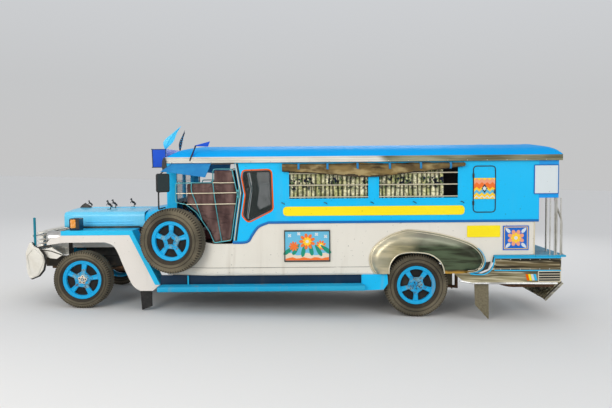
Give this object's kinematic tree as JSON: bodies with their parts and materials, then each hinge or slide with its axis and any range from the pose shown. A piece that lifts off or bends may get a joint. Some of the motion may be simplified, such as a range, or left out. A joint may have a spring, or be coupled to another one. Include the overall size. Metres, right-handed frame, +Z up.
{
  "type": "jeepney",
  "caption": "Long-wheelbase jeepney with open sides, bench seats, bright metal trim, a spare wheel on the cab and a rear entrance.",
  "frame": {"origin": "on the ground, centred under the whole vehicle", "axes": "+X towards the rear, +Y towards the vehicle's right side, +Z up"},
  "size_m": [6.2788, 2.2, 2.1205],
  "materials": {
    "frame_black": "dull chassis black",
    "deck_blue": "worn blue deck paint",
    "body_blue": "glossy cyan blue",
    "body_white": "aged cream white",
    "bright_metal": "bright plated steel",
    "dull_metal": "dull stainless steel",
    "lamp_amber": "amber lamp in a blue housing",
    "glass": "clear glass",
    "sign_blue": "deep blue sign paint",
    "black_plastic": "black",
    "tread_plate": "worn chequer plate",
    "curtain_cloth": "cream printed cloth",
    "canvas": "brown canvas",
    "seat_vinyl": "dark red brown vinyl",
    "rust_steel": "rusty steel",
    "tyre_rubber": "dusty tyre rubber",
    "flap_rubber": "pale dusty rubber",
    "gate_paint": "thin teal paint on steel rod",
    "cover_cloth": "brown mauve cloth"
  },
  "bodies": {
    "body": {"chassis_frame": "frame_black", "floor": "deck_blue", "cowl": "body_blue", "front_fenders": "body_white", "grille_shell": "bright_metal", "headlamps": "bright_metal", "turn_lamps": "lamp_amber", "front_bumper": "bright_metal", "grille_guard": "bright_metal", "lower_sides": "body_white", "upper_sides": "body_blue", "roof": "body_blue", "roof_rails": "dull_metal", "windscreen_frame": "body_blue", "glass": "glass", "signboard": "sign_blue", "roof_fins": "body_blue", "side_awnings": "body_blue", "mirrors": "black_plastic", "rear_header": "body_blue", "rear_fenders": "dull_metal", "running_boards": "body_blue", "rear_fairings": "dull_metal", "rear_deck": "deck_blue", "rear_step": "tread_plate", "handrails": "bright_metal", "window_bars": "bright_metal", "curtains": "curtain_cloth", "window_tarps": "canvas", "bench_frames": "deck_blue", "bench_cushions": "seat_vinyl", "front_seat": "seat_vinyl", "steering_column": "black_plastic", "engine": "frame_black", "fuel_tank": "frame_black", "exhaust": "rust_steel", "front_axle": "frame_black", "rear_axle": "frame_black", "leaf_springs": "frame_black", "spare_bracket": "frame_black", "rim_spare": "body_blue", "tyre_spare": "tyre_rubber", "gate_pins": "bright_metal", "mudflaps": "flap_rubber"},
    "hood": {"hood": "body_blue", "hood_ornaments": "bright_metal"},
    "steer_left": {"knuckle_left": "frame_black"},
    "steer_right": {"knuckle_right": "frame_black"},
    "gate_left": {"gate_left": "gate_paint", "gate_cover_left": "cover_cloth"},
    "gate_right": {"gate_right": "gate_paint", "gate_cover_right": "cover_cloth"},
    "wheel_front_left": {"rim_front_left": "body_blue", "tyre_front_left": "tyre_rubber"},
    "wheel_front_right": {"rim_front_right": "body_blue", "tyre_front_right": "tyre_rubber"},
    "wheel_rear_left": {"rim_rear_left": "body_blue", "tyre_rear_left": "tyre_rubber"},
    "wheel_rear_right": {"rim_rear_right": "body_blue", "tyre_rear_right": "tyre_rubber"}
  },
  "joints": [
    {"name": "steer_left_turn", "type": "hinge", "parent": "body", "child": "steer_left", "pos_m": [-2.42862, -0.6, 0.328], "axis": [0, 0, 1], "range_deg": [-30, 30]},
    {"name": "steer_right_turn", "type": "hinge", "parent": "body", "child": "steer_right", "pos_m": [-2.42862, 0.6, 0.328], "axis": [0, 0, 1], "range_deg": [-30, 30]},
    {"name": "wheel_front_left_spin", "type": "hinge", "parent": "steer_left", "child": "wheel_front_left", "pos_m": [-2.42862, -0.725, 0.328], "axis": [0, 1, 0], "continuous": true},
    {"name": "wheel_front_right_spin", "type": "hinge", "parent": "steer_right", "child": "wheel_front_right", "pos_m": [-2.42862, 0.725, 0.328], "axis": [0, 1, 0], "continuous": true},
    {"name": "wheel_rear_left_spin", "type": "hinge", "parent": "body", "child": "wheel_rear_left", "pos_m": [1.40338, -0.725, 0.364], "axis": [0, 1, 0], "continuous": true},
    {"name": "wheel_rear_right_spin", "type": "hinge", "parent": "body", "child": "wheel_rear_right", "pos_m": [1.40338, 0.725, 0.364], "axis": [0, 1, 0], "continuous": true},
    {"name": "hood_lift", "type": "hinge", "parent": "body", "child": "hood", "pos_m": [-1.7991, 0, 1.13147], "axis": [0, 1, 0], "range_deg": [0, 55]},
    {"name": "gate_left_swing", "type": "hinge", "parent": "body", "child": "gate_left", "pos_m": [-0.6403, -0.884, 1.36631], "axis": [-0.0334, 0, 0.9994], "range_deg": [0, 95]},
    {"name": "gate_right_swing", "type": "hinge", "parent": "body", "child": "gate_right", "pos_m": [-0.6403, 0.884, 1.36631], "axis": [0.0334, 0, -0.9994], "range_deg": [0, 95]}
  ],
  "couplings": [
    {"joint": "steer_right_turn", "follows": "steer_left_turn", "ratio": 1}
  ]
}
